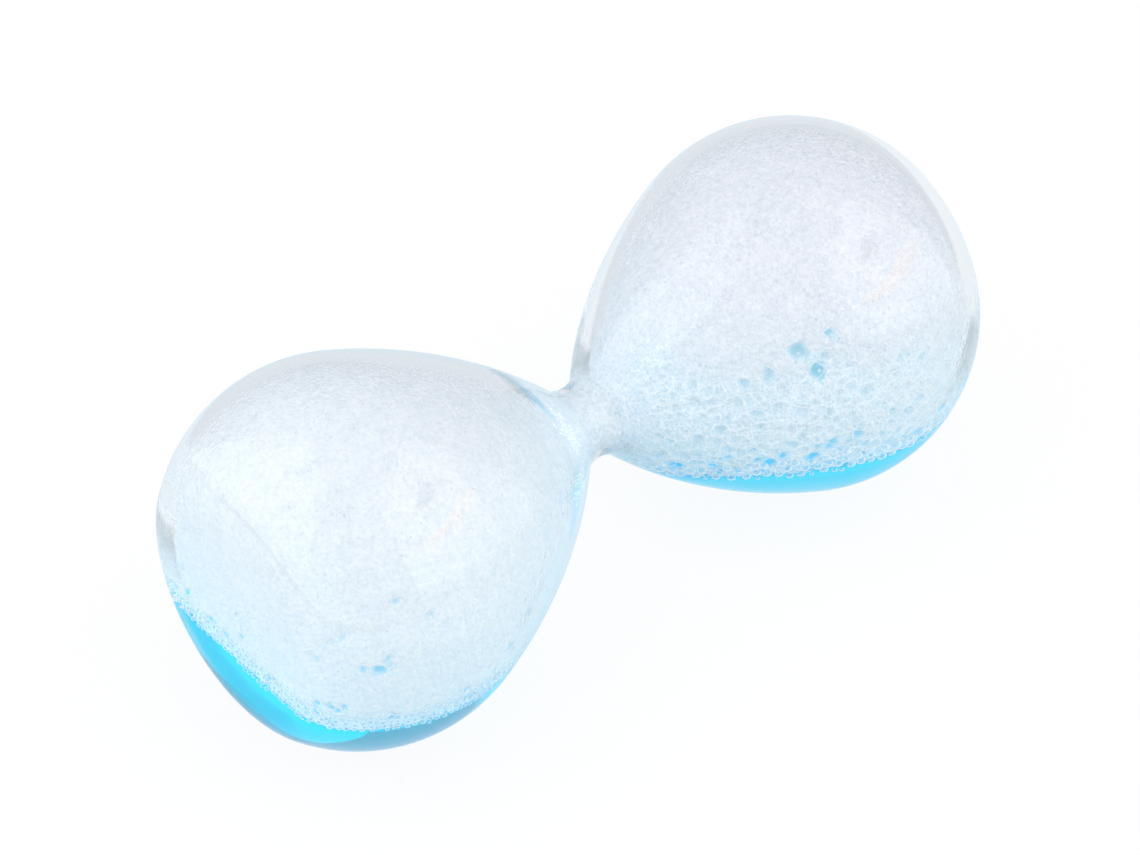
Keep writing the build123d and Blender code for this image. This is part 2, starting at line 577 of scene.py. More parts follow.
def on_skin(directions, side, depth):
    """Points of a bulb's foam skin in directions from the middle of the bulb."""
    directions = directions / np.linalg.norm(directions, axis=1)[:, None]
    across = np.hypot(directions[:, 1], directions[:, 2])
    reach = np.interp(np.arctan2(side * directions[:, 0], across), polar_angle, polar_reach)
    return bulb_middle(side) + directions * (reach - depth)[:, None]


def bulb_middle(side):
    """The middle of a bulb's round body."""
    return np.array([side * widest_station, 0, axis_height])


def spread_cells(large, side, depth, small, seed):
    """Cells of many sizes all over a bulb, set out round its large bubbles, the largest first."""
    randoms = np.random.default_rng(seed)
    count = 26000
    luck = randoms.random(count)
    widths = small * (1 + 0.35 * randoms.random(count))
    widths[luck < 0.06] = small * (1.5 + 8 * luck[luck < 0.06])
    widths[luck < 0.009] = small * (2.2 + 70 * luck[luck < 0.009])
    directions = np.concatenate([large.points - bulb_middle(side), randoms.normal(size=(count, 3))])
    points = on_skin(directions, side, depth)
    widths = np.concatenate([large.widths, widths])
    low = smooth_step((33 * mm - points[:, 2]) / (8 * mm))
    own = randoms.random(len(points))
    blue = 0.05 + 0.30 * own**3 + low * (0.06 + 0.7 * own**2)
    blue[:len(large.points)] = large.blue
    window = np.arange(len(points)) < len(large.points)
    if side == left:
        window |= (own > 0.93) & (points[:, 2] < (30 + 14 * own[::-1]) * mm)
    order = np.argsort(-widths, kind="stable")
    order = order[thinned(points[order], widths[order])]
    return Cells(points[order], widths[order], blue[order], window[order])


right_cells = spread_cells(right_large, right, depth=0.15 * mm, small=1.05 * mm, seed=31)
left_cells = spread_cells(left_large, left, depth=0.12 * mm, small=0.8 * mm, seed=33)
print("coarse cells:", len(left_cells.points), "left,", len(right_cells.points), "right")

# %% [markdown]
# The same small dips cover the skin of the dry foam and of the wet foam below it, so no ledge shows where
# the two pieces meet. In the coarse foam each cell is a bowl, as wide as its bubble.


# %% Raise the foam
def skin_normals(points, side):
    """The way out of the skin at points on it."""
    slope = np.interp(side * points[:, 0], fine_outline[:, 0], fine_outline[:, 2])
    across = points[:, 1:] - np.array([0, axis_height])
    reach = np.maximum(np.hypot(across[:, 0], across[:, 1]), 1e-9)
    return np.column_stack([-side * np.sin(slope), np.cos(slope)[:, None] * across / reach[:, None]])


def points_of(mesh):
    """The points of a mesh, as rows."""
    points = np.empty(len(mesh.vertices) * 3)
    mesh.vertices.foreach_get("co", points)
    return points.reshape(-1, 3)


def bubbled(piece, side, fine, cells):
    """Sink a skin between its bubbles, and mark how coarse and how blue it is."""
    mesh = piece.data
    points = points_of(mesh)
    cell, distance = fine.nearest(points)
    width = fine.widths[cell]
    depth = (0.05 + 0.25 * fine.blue[cell]) * width * (distance / width) ** 2
    depth *= 0.2 + 0.8 * smooth_step((side * points[:, 0] - 10 * mm) / (16 * mm))
    wet = smooth_step((27.5 * mm - points[:, 2]) / (3 * mm))
    depth = depth + 0.5 * mm * wet
    cell, distance = cells.nearest(bent(points, reach=0.8 * mm, scale=420))
    width = cells.widths[cell]
    zone = cells.window[cell].astype(float)
    if side == right:
        zone = np.maximum(zone, coarseness(points))
    bowl = np.clip(1 - (2 * distance / width) ** 2, 0, 1)
    depth = depth + zone * (0.3 * mm + 0.35 * width * bowl)
    blue = np.maximum(0.15 * wet, zone * cells.blue[cell] * (0.3 + 0.7 * smooth_step(1.4 * bowl)))
    depth *= smooth_step((side * points[:, 0] - waist) / (1.5 * mm))
    points = points - skin_normals(points, side) * depth[:, None]
    mesh.vertices.foreach_set("co", points.ravel())
    for name, value in (("coarse", zone), ("blue", blue)):
        mesh.attributes.new(name, "FLOAT", "POINT").data.foreach_set("value", value.astype(np.float32))
    mesh.update()
    print(f"{piece.name}: {len(mesh.polygons)} faces")
    return piece


def fine_cells(outline, side, count, cell, seed):
    """Small cells over an outline. Their blue is only luck, which sets how deep each one is."""
    randoms = np.random.default_rng(seed)
    points, _ = scattered(outline, side, count, randoms)
    widths = np.full(count, cell)
    keep = thinned(points, widths)
    return Cells(points[keep], widths[keep], randoms.random(int(keep.sum())))


foam_segments = 470
foam_spacing = 0.43 * mm


def raise_foam(name, side, low, high, fine, cells):
    """The foam of one bulb between two heights."""
    rows = foam_skin.outline(foam_spacing)
    spans = [(flat_ring(waist, 0, rows[0, 1]), 1, body_slot), (rows, 1, body_slot)]
    foam = turned(name, spans, side, foam_segments, exact=False)
    cut_level(foam, low, keep_below=False)
    if high:
        cut_level(foam, high, keep_below=True)
    return bubbled(foam, side, fine, cells)


left_fine = fine_cells(fine_outline, left, count=60000, cell=0.72 * mm, seed=11)
right_fine = fine_cells(fine_outline, right, count=60000, cell=0.78 * mm, seed=12)
left_foam = raise_foam("left_foam", left, raft_level, None, left_fine, left_cells)
right_foam = raise_foam("right_foam", right, raft_level, None, right_fine, right_cells)

# %% [markdown]
# ## The raft
#
# Fresh bubbles float on the liquid as a raft. They are wet, so they stay round, and each one holds a
# point of light. The raft is a thin slab that fills the space between liquid and foam, with some
# thousand round bubbles pressed against the glass along its edge.

# %% Float the raft
raft_foot = liquid_level + 0.1 * mm
left_raft = raise_foam("left_raft", left, raft_foot, raft_level, left_fine, left_cells)
right_raft = raise_foam("right_raft", right, raft_foot, raft_level, right_fine, right_cells)


# %% Set bubbles along its edge
def unit_ball(rounds):
    """Points and faces of a ball of radius 1."""
    body = bmesh.new()
    bmesh.ops.create_icosphere(body, subdivisions=rounds, radius=1)
    points = np.array([vertex.co[:] for vertex in body.verts])
    faces = np.array([[vertex.index for vertex in face.verts] for face in body.faces])
    body.free()
    return points, faces


def bubbles(name, centres, radii, rounds=2):
    """Many round bubbles in one piece."""
    ball, faces = unit_ball(rounds)
    points = centres[:, None, :] + radii[:, None, None] * ball[None]
    steps = np.arange(len(centres))[:, None, None] * len(ball)
    made = new_piece(name, points.reshape(-1, 3), (faces[None] + steps).reshape(-1, 3).tolist())
    print(f"{name}: {len(centres)} bubbles, {len(made.data.polygons)} faces")
    return made


def edge_bubbles(name, side, small, large, drop, top, seed):
    """Bubbles along the glass, where the raft meets it. Their lower edge is wavy, and the upper one fades."""
    randoms = np.random.default_rng(seed)
    points, normals = scattered(fine_outline, side, 220000, randoms)
    near = (points[:, 2] > liquid_level - 2 * drop) & (points[:, 2] < top)
    points, normals = points[near], normals[near]
    low = liquid_level - drop * (0.45 + 0.9 * noise_at(points, 130))
    fits = points[:, 2] > low
    points, normals = points[fits], normals[fits]
    widths = small + (large - small) * randoms.random(len(points)) ** 4
    order = np.argsort(-widths, kind="stable")
    order = order[thinned(points[order], widths[order])]
    fade = (points[order, 2] - raft_level) / (top - raft_level)
    order = order[randoms.random(len(order)) > 0.85 * smooth_step(fade)]
    radii = widths[order] * 0.49
    centres = points[order] - normals[order] * (radii * 1.02)[:, None]
    return bubbles(name, centres, radii)


left_edge = edge_bubbles(
    "left_raft_bubbles", left, small=0.62 * mm, large=1.0 * mm, drop=1.2 * mm, top=29 * mm, seed=21
)
right_edge = edge_bubbles(
    "right_raft_bubbles", right, small=0.7 * mm, large=1.9 * mm, drop=1.5 * mm, top=27 * mm, seed=22
)

# %% [markdown]
# ## The tangle of lines in the coarse foam
#
# Where three bubbles meet, their walls run together in a thin channel of liquid, and that channel is the
# bright line that shows. A net of such lines follows from the cells alone: the faces of the hull round
# their middles say which three bubbles meet, and each pair of neighbouring faces gives one line. Two nets
# at different depths make the tangle, and in the left bulb a net shows only round the large bubbles.


# %% Find where bubbles meet
def net(cells, side, depth):
    """Ends of the lines of one net, as two arrays of points."""
    body = bmesh.new()
    for direction in cells.points - bulb_middle(side):
        body.verts.new(Vector(direction).normalized())
    bmesh.ops.convex_hull(body, input=body.verts[:])
    body.normal_update()
    starts, ends = [], []
    for edge in body.edges:
        if len(edge.link_faces) == 2:
            starts.append(edge.link_faces[0].normal[:])
            ends.append(edge.link_faces[1].normal[:])
    body.free()
    return on_skin(np.array(starts), side, depth), on_skin(np.array(ends), side, depth)


# %% Draw the lines
def channels(name, starts, ends, thick, thin):
    """Thin four-sided channels, thicker at their ends, in one piece."""
    along = ends - starts
    length = np.linalg.norm(along, axis=1)
    fits = length > 0.15 * mm
    starts, ends, along, length = starts[fits], ends[fits], along[fits], length[fits]
    along = along / length[:, None]
    aside = np.cross(along, np.array([0.3, 0.5, 0.81]))
    aside /= np.linalg.norm(aside, axis=1)[:, None]
    above = np.cross(along, aside)
    bend = np.random.default_rng(len(starts)).uniform(-0.16, 0.16, len(starts)) * length
    rings = []
    for share, radius in ((0, thick), (0.5, thin), (1, thick)):
        middle = starts + (ends - starts) * share + aside * (bend * 4 * share * (1 - share))[:, None]
        for turn in range(4):
            angle = turn * pi / 2
            rings.append(middle + radius * (cos(angle) * aside + sin(angle) * above))
    points = np.stack(rings, axis=1)
    quads = [[3, 2, 1, 0], [8, 9, 10, 11]]
    for ring in (0, 4):
        for turn in range(4):
            beside = (turn + 1) % 4
            quads.append([ring + turn, ring + beside, ring + 4 + beside, ring + 4 + turn])
    steps = np.arange(len(starts))[:, None, None] * 12
    faces = (np.array(quads)[None] + steps).reshape(-1, 4)
    made = new_piece(name, points.reshape(-1, 3), faces.tolist())
    print(f"{name}: {len(starts)} lines, {len(faces)} faces")
    return made


def drawn_net(name, cells, side, depth, thick, thin):
    """One net, kept where the foam is coarse and round the large bubbles."""
    starts, ends = net(cells, side, depth)
    middle = (starts + ends) / 2
    nearby = cells.window[cells.nearest(middle + 0.1 * mm)[0]]
    nearby |= cells.window[cells.nearest(middle - 0.1 * mm)[0]]
    luck = np.random.default_rng(51).random(len(middle))
    keep = nearby | (coarseness(middle) > 0.1 + 1.1 * luck)
    keep &= middle[:, 2] > liquid_level + 0.2 * mm
    return channels(name, starts[keep], ends[keep], thick, thin)


thick_end, thin_middle = 0.075 * mm, 0.035 * mm
deep_cells = spread_cells(right_large, right, depth=0.6 * mm, small=1.15 * mm, seed=32)
near_net = drawn_net("right_near_lines", right_cells, right, 0.17 * mm, thick_end, thin_middle)
deep_net = drawn_net("right_deep_lines", deep_cells, right, 0.5 * mm, thick_end, thin_middle)
left_net = drawn_net("left_near_lines", left_cells, left, 0.12 * mm, thick=0.06 * mm, thin=0.03 * mm)

# %% [markdown]
# ## The froth in the neck
#
# The bore of the neck is a little over 8 mm wide, and a string of bubbles stands in it.

# %% Fill the bore of the neck
bore_outline = foam_skin.waist_outline()
bore_segments = 130
bore_cell = 0.95 * mm


def fill_bore(name):
    """The string of bubbles in the bore, drawn in between them as the foam of the bulbs is."""
    low_cap = flat_ring(-waist, 0, bore_outline[0, 1])
    high_cap = flat_ring(waist, 0, bore_outline[-1, 1], facing_in=False)[::-1]
    spans = [(low_cap, 1, body_slot), (bore_outline, 1, body_slot), (high_cap, 1, body_slot)]
    string = turned(name, spans, right, bore_segments, exact=False)
    cells = fine_cells(bore_outline, right, count=2500, cell=bore_cell, seed=41)
    points = points_of(string.data)
    out = (points - np.array([0, 0, axis_height])) * np.array([0, 1, 1])
    reach = np.maximum(np.linalg.norm(out, axis=1), 1e-9)
    near, distance = cells.nearest(points)
    dip = (0.1 + 0.3 * cells.blue[near]) * bore_cell * (distance / bore_cell) ** 2
    dip *= smooth_step((waist - np.abs(points[:, 0])) / (1.5 * mm)) * (reach > 1 * mm)
    points -= out / reach[:, None] * dip[:, None]
    string.data.vertices.foreach_set("co", points.ravel())
    string.data.update()
    return string


neck_froth = fill_bore("neck_froth")

# The end discs are flat, and so the skins beside them keep their own shading
for piece in (left_foam, right_foam, neck_froth):
    for polygon in piece.data.polygons:
        if abs(polygon.normal.x) > 0.9 and abs(abs(polygon.center.x) - waist) < 0.2 * mm:
            polygon.use_smooth = False

# %% [markdown]
# The bore holds most of the wet film, because all that drains from the upper bulb passes through it. The
# film shows as crowds of tiny beads and as fine curved lines, whose glints are painted and shine a little by
# themselves. Beside the neck, a little blue liquid still clings to the foam of the left bulb. It has no
# thickness to speak of, so it is only marked on the mesh, along two paths.

# %% Wet the neck
def neck_beads(name, clusters, width, seed):
    """Tiny wet beads on the neck's left shoulder. A cluster is a count, and a station in millimetres
    and a turn in degrees, each with its spread."""
    randoms = np.random.default_rng(seed)
    station, angle = [], []
    for count, at, along, turn, around in clusters:
        station.append(randoms.normal(at * mm, along * mm, count))
        angle.append(np.radians(randoms.normal(turn, around, count)))
    station, angle = np.concatenate(station), np.concatenate(angle)
    inner = (station > waist + 0.3 * mm) & (station < 22 * mm)
    station, angle = station[inner], angle[inner]
    radius = np.interp(station, fine_outline[:, 0], fine_outline[:, 1])
    points, normals = around_axis(left, station, radius, 0 * station, angle)
    widths = width * (0.5 + randoms.random(len(points)))
    keep = thinned(points, widths)
    return bubbles(name, points[keep] - normals[keep] * widths[keep][:, None] * 0.3, widths[keep] / 2, 1)


def tinge(piece, side, path):
    """Blue liquid that clings to the foam along a path. A row of the path is a station and a width in
    millimetres, a turn in degrees and a share."""
    rows = np.array(path)
    steps = np.linspace(0, len(rows) - 1, 12 * len(rows))
    station, width, turn, share = (np.interp(steps, np.arange(len(rows)), column) for column in rows.T)
    radius = np.interp(station * mm, fine_outline[:, 0], fine_outline[:, 1])
    middle, _ = around_axis(side, station * mm, radius, 0 * station, np.radians(turn))
    tree = tree_of(middle)
    marks = piece.data.attributes["blue"].data
    for index, vertex in enumerate(piece.data.vertices):
        if side * vertex.co.x < 26 * mm:
            _, row, distance = tree.find(vertex.co)
            here = share[row] * smooth_step(1.6 - 1.2 * distance / (width[row] * mm))
            marks[index].value = max(marks[index].value, float(here))


def wet_lines(name, side, count, low, high, seed):
    """Short curved lines round the glass, as arcs about the long axis."""
    randoms = np.random.default_rng(seed)
    starts, ends = [], []
    for _ in range(count):
        station = randoms.uniform(low, high)
        turn = radians(randoms.uniform(-120, 10))
        drift = randoms.uniform(-0.25, 0.25) * mm
        steps = randoms.integers(3, 8)
        stations = station + drift * np.arange(steps + 1)
        turns = turn + radians(7) * np.arange(steps + 1)
        radius = np.interp(stations, fine_outline[:, 0], fine_outline[:, 1])
        points, _ = around_axis(side, stations, radius - 0.05 * mm, 0 * stations, turns)
        starts.append(points[:-1])
        ends.append(points[1:])
    return channels(name, np.concatenate(starts), np.concatenate(ends), 0.07 * mm, 0.05 * mm)


beads = neck_beads("neck_beads", (
    (150, 10.9, 1.1, -47, 6), (80, 12.2, 1.0, -33, 8), (90, 14.5, 2.0, -76, 4), (90, 8.5, 2.5, -60, 14),
), width=0.34 * mm, seed=61)
left_neck_lines = wet_lines("left_neck_lines", left, count=40, low=5.4 * mm, high=13 * mm, seed=62)
right_neck_lines = wet_lines("right_neck_lines", right, count=10, low=5.2 * mm, high=8 * mm, seed=63)
tinge(left_foam, left, (
    (18.5, 0.8, 17, 0.3), (16.6, 1.2, 10, 0.5), (15.9, 1.5, 0, 0.6), (14.8, 1.6, -10, 0.6),
    (14.2, 1.2, -20, 0.5), (13.0, 0.8, -28, 0.3),
))
tinge(left_foam, left, (
    (13.2, 1.6, -72, 0.2), (15.0, 2.2, -77, 0.35), (17.5, 2.4, -82, 0.4), (21.0, 1.6, -90, 0.25),
))

# %% [markdown]
# ## Shader maths
#
# A finish is a small graph of nodes. The class below lets Python's own signs build that graph: adding or
# multiplying two wires puts a Math node between them. Every other node is made by one method.


# %% Wires and finishes
class Wire:
    """One output of a node. Arithmetic on it adds Math nodes."""

    def __init__(self, finish, socket):
        self.finish = finish
        self.socket = socket

    def other(self, output):
        """Another output of the same node."""
        return Wire(self.finish, self.socket.node.outputs[output])

    def __add__(self, value):
        return self.finish.maths("ADD", self, value)

    def __radd__(self, value):
        return self.finish.maths("ADD", value, self)

    def __sub__(self, value):
        return self.finish.maths("SUBTRACT", self, value)

    def __rsub__(self, value):
        return self.finish.maths("SUBTRACT", value, self)

    def __mul__(self, value):
        return self.finish.maths("MULTIPLY", self, value)

    def __rmul__(self, value):
        return self.finish.maths("MULTIPLY", value, self)


class Finish:
    """The nodes of a material or of the world."""

    def __init__(self, owner):
        owner.use_nodes = True
        self.owner = owner
        self.tree = owner.node_tree
        self.tree.nodes.clear()

    def node(self, kind, settings=None, sockets=None, output=0):
        """Add a node. Its settings are set first, and then its sockets get values or wires."""
        made = self.tree.nodes.new(kind)
        for name, value in (settings or {}).items():
            setattr(made, name, value)
        for key, value in (sockets or {}).items():
            if isinstance(value, Wire):
                self.tree.links.new(value.socket, made.inputs[key])
            else:
                made.inputs[key].default_value = value
        return Wire(self, made.outputs[output] if len(made.outputs) else None)

    def maths(self, operation, first, second=0.0, clamp=False):
        """Work on two numbers, each a wire or a plain value."""
        settings = {"operation": operation, "use_clamp": clamp}
        return self.node("ShaderNodeMath", settings, {0: first, 1: second})

    def between(self, value, low, high):
        """0 at low, 1 at high, and clamped outside them."""
        sockets = {"Value": value, "From Min": low, "From Max": high}
        return self.node("ShaderNodeMapRange", {"clamp": True}, sockets)

    def colours(self, factor, first, second):
        """Mix two colours."""
        return self.node("ShaderNodeMix", {"data_type": "RGBA"}, {0: factor, 6: first, 7: second}, 2)

    def shaders(self, factor, first, second):
        """Mix two shaders."""
        return self.node("ShaderNodeMixShader", {}, {0: factor, 1: first, 2: second})

    def noise(self, where, scale, detail, distortion=0.0):
        """Smooth noise between 0 and 1. Its scale is in waves to the metre."""
        sockets = {"Vector": where, "Scale": scale, "Detail": detail, "Distortion": distortion}
        return self.node("ShaderNodeTexNoise", {}, sockets)

    def see_through(self, colour=(1.0, 1.0, 1.0)):
        """A surface that only tints what is behind it."""
        return self.node("ShaderNodeBsdfTransparent", {}, {"Color": (*colour, 1.0)})

    def shining(self, colour, strength=1.0):
        """A surface that gives light of its own."""
        return self.node("ShaderNodeEmission", {}, {"Color": (*colour, 1.0), "Strength": strength})

    def back_side(self):
        """1 on the inner side of a surface, and 0 on its outer side."""
        return self.node("ShaderNodeNewGeometry", {}, {}, "Backfacing")

    def rays(self):
        """What kind of ray is looking. Other outputs of the node give the other kinds."""
        return self.node("ShaderNodeLightPath", {}, {}, "Is Camera Ray")

    def mirror(self, rays):
        """1 for a ray from a mirror. A sharply refracted ray counts as glossy too, so that is left out."""
        return rays.other("Is Glossy Ray") * (1 - rays.other("Is Transmission Ray"))

    def first_mirror(self, rays):
        """The same, for the first mirror on a ray's way only, which is the outer surface."""
        return self.mirror(rays) * self.maths("LESS_THAN", rays.other("Ray Depth"), 1.5)

    def level_place(self):
        """A place on the body that stays level, as a vector, a station and a height above the table."""
        settings = {"object": frame["bodies"]["contents"]}
        level = self.node("ShaderNodeTexCoord", settings, {}, "Object")
        station = self.node("ShaderNodeSeparateXYZ", {}, {0: level}, "X")
        return level, station, station.other("Z")

    def surface(self, shader):
        """End the finish with a surface, or with the world's light."""
        kind = "ShaderNodeOutputWorld" if self.owner.name == "room" else "ShaderNodeOutputMaterial"
        self.node(kind, {}, {"Surface": shader})
        return self.owner


def paint(red, green, blue):
    """A colour as a screen shows it, turned into the light that a shader works with."""
    shares = [value / 255 for value in (red, green, blue)]
    light = [s / 12.92 if s <= 0.04045 else ((s + 0.055) / 1.055) ** 2.4 for s in shares]
    return (*light, 1.0)


# %% [markdown]
# ## The finish of the glass
#
# Clear glass shows only what it bends and what it mirrors. The outer surface carries the faint waves of
# blown glass. Inside, the glass meets air where the foam is dry, and the bubbles that touch it break up
# its mirror image. Where it is wet it meets liquid, and then it bends light far less. That is why the
# liquid reaches the very edge of the outline and the dry foam stops short of it. The level is read on the
# body that stays level, so the wet part stays low when the glass rolls. Lamps shine straight through.
#
# Light that enters near the outline is mirrored inside the wall. In a bulb it may leave at the next
# surface, which keeps the band clear and bright. The neck is thicker, and it guides that light on. What
# leaves the glass takes a greyer tint: painted shade, which greys the band along the neck and what is seen
# through both walls.


# %% Glass
glass_ior = 1.47
glass_on_liquid_ior = 1.105
last_bend = 8.5


def lit_through(finish, glass, guides=False):
    """Glass that lets the lamps' light through without bending it. Light that the wall has mirrored
    inside itself leaves at once, unless the wall guides it on."""
    rays = finish.rays()
    through = finish.maths("MAXIMUM", rays.other("Is Shadow Ray"), rays.other("Is Diffuse Ray"))
    lost = finish.maths("GREATER_THAN", rays.other("Ray Depth"), last_bend)
    through = finish.maths("MAXIMUM", through, lost)
    if not guides:
        through = finish.maths("MAXIMUM", through, finish.back_side() * finish.mirror(rays))
    return finish.surface(finish.shaders(through, glass, finish.see_through((0.97, 0.97, 0.97))))


def clear_glass(finish, tint, bump=None, ior=glass_ior):
    """Smooth clear glass."""
    sockets = {"Color": (*tint, 1.0), "Roughness": 0.0, "IOR": ior}
    if bump is not None:
        sockets["Normal"] = bump
    return finish.node("ShaderNodeBsdfGlass", {}, sockets)


def outer_wall(name, leaving_shade_tint, guides=False):
    """The outer surface: faint waves, the grey-blue of thick glass, and a greyer tint on the way out, which
    is painted shade.
    """
    finish = Finish(bpy.data.materials.new(name))
    where = finish.node("ShaderNodeTexCoord", {}, {}, "Object")
    waves = finish.noise(where, 45.0, 1.0)
    bump = finish.node("ShaderNodeBump", {}, {"Strength": 0.25, "Distance": 0.0004, "Height": waves})
    entering = clear_glass(finish, (0.885, 0.93, 0.965), bump)
    leaving = clear_glass(finish, leaving_shade_tint, bump)
    return lit_through(finish, finish.shaders(finish.back_side(), entering, leaving), guides)


def inner_wall():
    """The inner surface, dry above and wet below and in the neck."""
    finish = Finish(bpy.data.materials.new("inner_glass"))
    level, station, height = finish.level_place()
    wobble = finish.noise(level, 220.0, 1.0)
    flank = finish.between(station, -46 * mm, -26 * mm) * finish.between(station, 0.0, -6 * mm)
    wet = finish.between(height + (wobble - 0.5) * (6 * mm) - flank * (9 * mm), 44 * mm, 29 * mm)
    near_neck = finish.between(station, -20 * mm, -13 * mm) * finish.between(station, 11 * mm, 5 * mm)
    wet = finish.maths("MAXIMUM", wet, near_neck)
    touch = finish.noise(level, 1100.0, 1.0)
    facing = finish.node("ShaderNodeLayerWeight", {}, {"Blend": 0.5}, "Facing")
    touch = touch * finish.between(facing, 0.5, 0.25)
    touch = touch * finish.between(finish.maths("ABSOLUTE", station), 8 * mm, 26 * mm)
    bump = finish.node("ShaderNodeBump", {}, {"Strength": 1.0, "Distance": 0.00004, "Height": touch})
    dry_glass = clear_glass(finish, (0.985, 0.99, 0.992), bump)
    wet_glass = clear_glass(finish, (0.985, 0.99, 0.992), ior=glass_on_liquid_ior)
    return lit_through(finish, finish.shaders(wet, dry_glass, wet_glass))


def fused_joint():
    """No surface at all, where two pieces of glass are one."""
    finish = Finish(bpy.data.materials.new("fused_joint"))
    return finish.surface(finish.see_through())


# The tints on the way out are painted shade: they are greyer than the tint on the way in.
bulb_finish = outer_wall("blown_glass", (0.85, 0.83, 0.84))
neck_finish = outer_wall("neck_glass", (0.90, 0.86, 0.87), guides=True)
joint_finish = fused_joint()
inner_finish = inner_wall()
for piece, outside in ((left_glass, bulb_finish), (right_glass, bulb_finish), (neck_glass, neck_finish)):
    for finish in (outside, joint_finish, inner_finish):
        piece.data.materials.append(finish)
    print(f"{piece.name}: {outside.name} outside, {inner_finish.name} inside")
seal_glass.data.materials.append(bulb_finish)


# %% [markdown]
# ## The finish of the liquid
#
# The liquid is clear water with a strong cyan dye. Nearly half of what shows is light that crossed it from
# the white table and came out cyan. The rest is a plain cyan surface, which also glows a little by itself:
# painted light. On the right of the left bulb a crescent is painted in shade, and thin dark streaks show
# at the base.

# %% Liquid
def dyed_liquid():
    """Cyan liquid: a clear tint, with a share of plain cyan that glows a little as painted light, thin dark
    swirls and a side painted in shade.
    """
    finish = Finish(bpy.data.materials.new("blue_liquid"))
    where = finish.node("ShaderNodeTexCoord", {}, {}, "Object")
    x = finish.node("ShaderNodeSeparateXYZ", {}, {0: where}, "X")
    z = x.other("Z")
    clouds = finish.noise(where, 120.0, 3.0)
    drawn_out = finish.node("ShaderNodeVectorMath", {"operation": "MULTIPLY"}, {
        0: where, 1: (80.0, 50.0, 450.0),
    })
    swirl = finish.noise(drawn_out, 1.0, 2.0, distortion=0.8)
    vein = finish.between(finish.maths("ABSOLUTE", swirl - 0.5), 0.03, 0.008)
    at_base = finish.between(x, -71 * mm, -73 * mm) * finish.between(z, 15 * mm, 13 * mm)
    # Painted shade: below this sloping line, a crescent on the right of the left bulb is darker in colour and
    # in tint.
    shade_line = finish.maths("MINIMUM", (x + 71.8 * mm) * 1.5 + 14.8 * mm, 21.6 * mm)
    below_line = finish.between(z - shade_line, 0.4 * mm, -0.4 * mm)
    shaded = below_line * finish.between(x, -73.5 * mm, -71.5 * mm) * finish.between(x, -46 * mm, -50 * mm)
    shade = finish.colours(clouds * 0.5, (0.0, 0.80, 1.0, 1.0), (0.0, 0.70, 0.98, 1.0))
    shade = finish.colours(vein * at_base * 0.6, shade, (0.0, 0.34, 0.62, 1.0))
    shade = finish.colours(shaded * 0.95, shade, (0.07, 0.38, 0.55, 1.0))
    on_right = finish.between(x, -5 * mm, 5 * mm)
    shade = finish.colours(on_right * 0.3, shade, (0.06, 0.60, 0.86, 1.0))
    # Painted light: the body glows a little with its own cyan.
    body = finish.node("ShaderNodeBsdfPrincipled", {}, {
        "Base Color": shade, "Roughness": 0.35, "Specular IOR Level": 0.0,
        "Emission Color": shade, "Emission Strength": 0.3,
    })
    clear_left = finish.see_through((0.0, 0.82, 1.0))
    clear_right = finish.see_through((0.045, 0.74, 0.95))
    clear = finish.shaders(on_right, clear_left, clear_right)
    clear = finish.shaders(shaded * 0.95, clear, finish.see_through((0.09, 0.45, 0.64)))
    seen = finish.shaders(0.45, body, clear)
    return finish.surface(finish.shaders(finish.back_side(), seen, finish.see_through()))


liquid_finish = dyed_liquid()
for piece in (left_liquid, right_liquid):
    piece.data.materials.append(liquid_finish)
print(f"{liquid_finish.name}: {len(liquid_finish.node_tree.nodes)} nodes")
